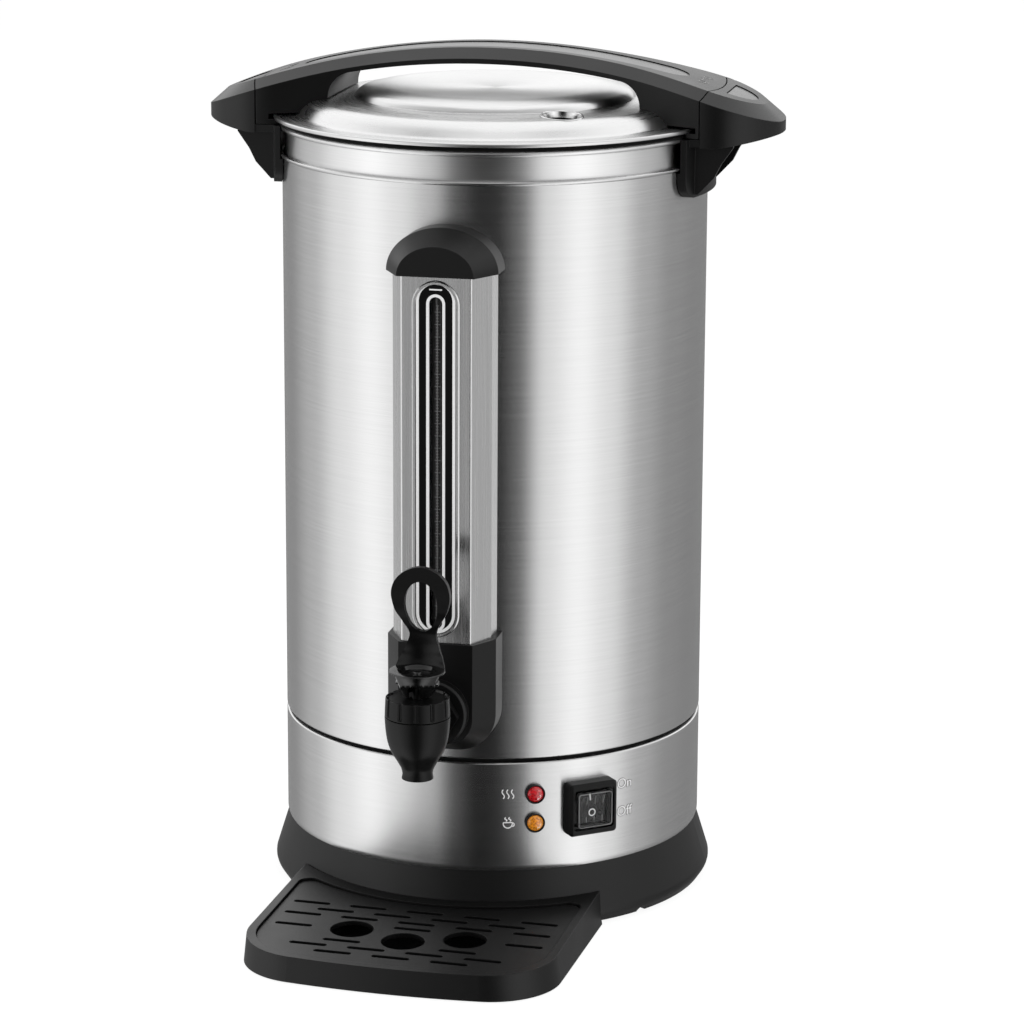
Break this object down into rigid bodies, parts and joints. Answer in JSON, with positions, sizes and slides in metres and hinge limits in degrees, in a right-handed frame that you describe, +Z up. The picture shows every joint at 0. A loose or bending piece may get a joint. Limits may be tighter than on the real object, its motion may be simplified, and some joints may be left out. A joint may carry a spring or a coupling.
{
  "type": "coffee urn",
  "caption": "Tall steel coffee urn with a locking lid bar, side ears, front sight gauge, lever tap, switch, pilot lamps and a slide-out drip tray.",
  "frame": {"origin": "on the urn's upright axis, at the level of the feet's undersides", "axes": "+Z up, -Y towards the tap and the person filling a cup, +X to that person's right"},
  "size_m": [0.301, 0.3273, 0.4415],
  "materials": {
    "brushed_steel": "brushed, satin",
    "polished_steel": "polished",
    "zinc_steel": "zinc plated",
    "black_plastic": "satin moulded",
    "black_gloss_plastic": "semi-gloss moulded",
    "grey_inlay": "satin, printed",
    "clear_plastic": "clear moulded",
    "gauge_glass": "clear tube",
    "lamp_red_lens": "translucent faceted",
    "lamp_amber_lens": "translucent faceted",
    "silicone": "soft translucent",
    "rubber": "matt",
    "aluminium": "cast, natural",
    "brass": "plain",
    "element_sheath": "dull",
    "grate_steel": "brushed"
  },
  "bodies": {
    "urn_body": {"inner_tank": "polished_steel", "outer_shell": "brushed_steel", "seam_ring": "black_plastic", "lower_shell": "brushed_steel", "base_skirt": "black_plastic", "base_plate": "zinc_steel", "foot_1": "rubber", "foot_2": "rubber", "foot_3": "rubber", "foot_4": "rubber", "base_screws": "zinc_steel", "tie_bolts": "zinc_steel", "heater_plate": "aluminium", "heater_element": "element_sheath", "thermostat_1": "black_gloss_plastic", "thermostat_2": "black_gloss_plastic", "power_inlet": "black_plastic", "inlet_pins": "brass", "switch_frame": "black_gloss_plastic", "switch_cover": "clear_plastic", "lamp_red": "lamp_red_lens", "lamp_amber": "lamp_amber_lens", "lamp_holder_red": "black_gloss_plastic", "lamp_holder_amber": "black_gloss_plastic", "column_cover": "brushed_steel", "column_top_cap": "black_plastic", "tap_box": "black_plastic", "gauge_frame": "black_gloss_plastic", "gauge_tube": "gauge_glass", "gauge_elbow_low": "silicone", "gauge_elbow_high": "silicone", "gauge_seals": "rubber", "tap_body": "black_gloss_plastic", "tap_bonnet": "black_gloss_plastic", "tap_union": "black_gloss_plastic", "tap_shank": "polished_steel", "shank_nut": "polished_steel", "side_handle_left": "black_plastic", "side_handle_right": "black_plastic", "side_inlay_left": "grey_inlay", "side_inlay_right": "grey_inlay", "side_handle_screws": "zinc_steel", "percolator_stem": "polished_steel", "coffee_basket": "polished_steel", "basket_lid": "polished_steel"},
    "lid_seal": {"lid_gasket": "rubber"},
    "lid": {"lid_shell": "brushed_steel", "lid_liner": "brushed_steel", "lid_bar": "black_plastic", "bar_inlay": "grey_inlay", "lid_screws": "zinc_steel", "vent_collar": "polished_steel"},
    "tap_stem": {"tap_stem": "polished_steel", "tap_seat_cup": "silicone", "lever_pin": "polished_steel"},
    "tap_lever": {"tap_lever": "black_gloss_plastic"},
    "switch_rocker": {"switch_rocker": "black_gloss_plastic"},
    "drip_tray": {"drip_tray": "black_plastic"},
    "drip_grate": {"drip_grate": "black_plastic"}
  },
  "joints": [
    {"name": "lid_lift", "type": "slide", "parent": "urn_body", "child": "lid_seal", "axis": [0, 0, 1], "range_m": [0, 0.1]},
    {"name": "lid_twist", "type": "hinge", "parent": "lid_seal", "child": "lid", "pos_m": [0, 0, 0.404], "axis": [0, 0, 1], "range_deg": [0, 20]},
    {"name": "tap_stem_lift", "type": "slide", "parent": "urn_body", "child": "tap_stem", "axis": [0, 0, 1], "range_m": [0, 0.0053], "stiffness_N_per_m": 900},
    {"name": "tap_lever_tilt", "type": "hinge", "parent": "tap_stem", "child": "tap_lever", "pos_m": [0, -0.174, 0.15], "axis": [1, 0, 0], "range_deg": [0, 35]},
    {"name": "rocker_tilt", "type": "hinge", "parent": "urn_body", "child": "switch_rocker", "pos_m": [0.0691, -0.08687, 0.06375], "axis": [-0.7826, -0.6225, 0], "range_deg": [0, 16]},
    {"name": "tray_slide", "type": "slide", "parent": "urn_body", "child": "drip_tray", "axis": [-0.0489, -0.9988, 0], "range_m": [0, 0.08]},
    {"name": "grate_lift", "type": "slide", "parent": "drip_tray", "child": "drip_grate", "axis": [0, 0, 1], "range_m": [0, 0.03]}
  ],
  "couplings": [
    {"joint": "tap_lever_tilt", "follows": "tap_stem_lift", "rad_per_m": 114.2}
  ]
}
